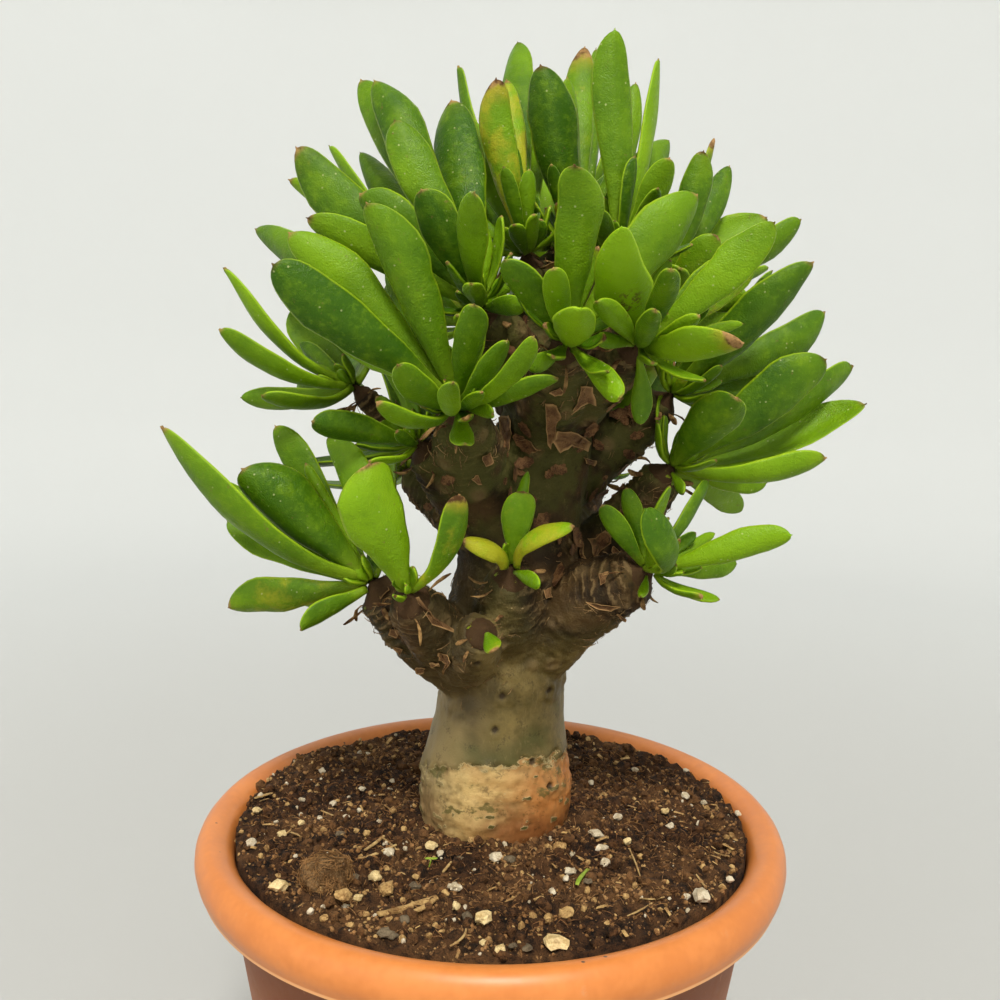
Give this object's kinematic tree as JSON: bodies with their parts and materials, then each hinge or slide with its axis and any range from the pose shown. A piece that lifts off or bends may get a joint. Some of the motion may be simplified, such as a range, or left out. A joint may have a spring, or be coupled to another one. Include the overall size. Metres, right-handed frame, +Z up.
{
  "type": "potted succulent",
  "caption": "Round tapered plant pot with a rolled rim, filled with soil, holding a butter tree with a swollen trunk, stubby branches and fleshy paddle leaves.",
  "frame": {"origin": "centre of the pot's flat base, on the surface that it stands on", "axes": "+Z up along the pot's axis, -Y towards the viewer of the picture, +X to the viewer's right"},
  "size_m": [0.2846, 0.2523, 0.525],
  "materials": {
    "pot": "satin moulded plastic",
    "soil": "crumbly potting soil with pale grit",
    "bark": "smooth olive skin with peeling bark",
    "leaf": "smooth fleshy leaf"
  },
  "bodies": {
    "root": {"pot": "pot", "soil": "soil", "trunk": "bark", "leaves_low_left": "leaf", "leaves_low_left_side": "leaf", "leaves_left_knob": "leaf", "leaves_front_knob": "leaf", "leaves_low_right": "leaf", "leaves_right": "leaf", "leaves_dark_right": "leaf", "leaves_left_mid": "leaf", "leaves_left": "leaf", "leaves_left_crown": "leaf", "leaves_front_crown": "leaf", "leaves_right_crown": "leaf", "leaves_upper_left": "leaf", "leaves_top_left": "leaf", "leaves_top": "leaf", "leaves_top_right": "leaf", "leaves_right_upper": "leaf", "leaves_back_left": "leaf", "leaves_back_middle": "leaf", "leaves_back_right": "leaf", "leaves_back_top": "leaf", "leaves_back_low_left": "leaf", "leaves_back_low_right": "leaf"}
  },
  "joints": []
}
